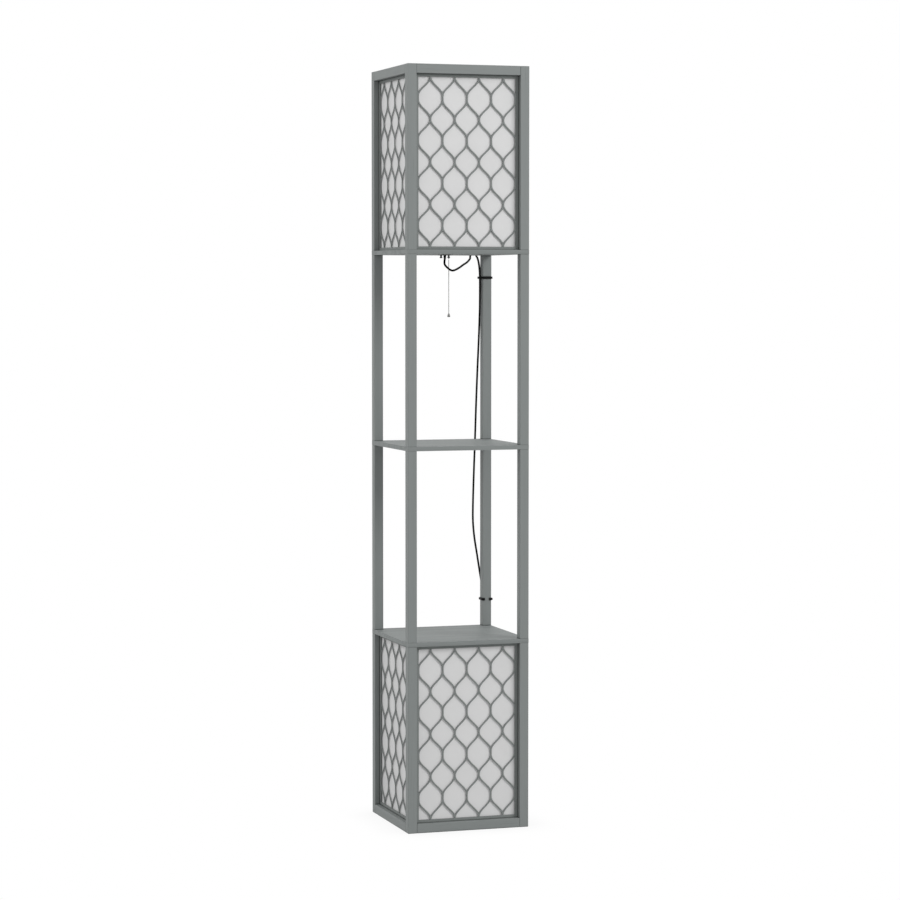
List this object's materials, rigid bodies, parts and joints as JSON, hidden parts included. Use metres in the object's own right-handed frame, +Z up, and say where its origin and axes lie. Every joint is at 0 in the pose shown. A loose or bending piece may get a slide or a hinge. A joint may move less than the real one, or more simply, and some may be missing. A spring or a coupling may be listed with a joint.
{
  "type": "shelf floor lamp",
  "caption": "Square floor lamp with open shelves between an upper and a lower light box of ogee fretwork over white sheet, with a pull chain switch.",
  "frame": {"origin": "on the floor, in the middle of the lamp's square footprint, the cord left out", "axes": "+Z up along the posts, +Y from the front to the back where the cord runs down, +X to the right seen from the front"},
  "size_m": [0.2639, 0.3362, 1.566],
  "materials": {
    "grey_paint": "matt grey paint over timber, faint grain",
    "white_sheet": "plain translucent white",
    "black_moulding": "moulded, satin",
    "cord_cover": "flexible black, satin",
    "cord_fixing": "dark grey, matt",
    "chain_plating": "bright nickel plate",
    "brass": "plain",
    "steel": "zinc plated",
    "bulb_glass": "frosted white"
  },
  "bodies": {
    "frame": {"bottom_rail_back": "grey_paint", "bottom_rail_front": "grey_paint", "bottom_rail_left": "grey_paint", "bottom_rail_right": "grey_paint", "bulb_caps": "brass", "chain_guides": "chain_plating", "cord_band": "cord_fixing", "cord_clip": "cord_fixing", "cord_coil": "cord_cover", "cord_gland": "cord_cover", "cord_saddle": "cord_fixing", "housing_cover": "black_moulding", "joining_studs": "steel", "lower_bay_post_back_left": "grey_paint", "lower_bay_post_back_right": "grey_paint", "lower_bay_post_front_left": "grey_paint", "lower_bay_post_front_right": "grey_paint", "lower_box_post_back_left": "grey_paint", "lower_box_post_back_right": "grey_paint", "lower_box_post_front_left": "grey_paint", "lower_box_post_front_right": "grey_paint", "lower_bulb": "bulb_glass", "lower_diffusers": "white_sheet", "lower_fret_back": "grey_paint", "lower_fret_front": "grey_paint", "lower_fret_left": "grey_paint", "lower_fret_right": "grey_paint", "lower_lampholder": "black_moulding", "lower_shelf": "grey_paint", "middle_shelf": "grey_paint", "plug_blades": "brass", "plug_body": "cord_cover", "power_cord": "cord_cover", "screw_shells": "brass", "switch_housing": "black_moulding", "top_rail_back": "grey_paint", "top_rail_front": "grey_paint", "top_rail_left": "grey_paint", "top_rail_right": "grey_paint", "top_shelf": "grey_paint", "upper_bay_post_back_left": "grey_paint", "upper_bay_post_back_right": "grey_paint", "upper_bay_post_front_left": "grey_paint", "upper_bay_post_front_right": "grey_paint", "upper_box_post_back_left": "grey_paint", "upper_box_post_back_right": "grey_paint", "upper_box_post_front_left": "grey_paint", "upper_box_post_front_right": "grey_paint", "upper_bulb": "bulb_glass", "upper_diffusers": "white_sheet", "upper_fret_back": "grey_paint", "upper_fret_front": "grey_paint", "upper_fret_left": "grey_paint", "upper_fret_right": "grey_paint", "upper_lampholder": "black_moulding"},
    "switch_lever": {"switch_lever": "steel"},
    "chain_lead": {"chain_lead": "chain_plating"},
    "pull_chain": {"pull_chain": "chain_plating", "pull_bell": "chain_plating"}
  },
  "joints": [
    {"name": "chain_pull", "type": "slide", "parent": "frame", "child": "chain_lead", "axis": [0, 0, -1], "range_m": [0, 0.007], "stiffness_N_per_m": 600, "springref_m": -0.005},
    {"name": "lever_turn", "type": "hinge", "parent": "frame", "child": "switch_lever", "pos_m": [-0.0139, 0, 1.201], "axis": [0, 1, 0], "range_deg": [0, 32]},
    {"name": "chain_swing", "type": "hinge", "parent": "chain_lead", "child": "pull_chain", "pos_m": [-0.0013, 0, 1.172], "axis": [0, 1, 0], "range_deg": [-15, 15]}
  ],
  "couplings": [
    {"joint": "lever_turn", "follows": "chain_pull", "rad_per_m": 79.365}
  ]
}
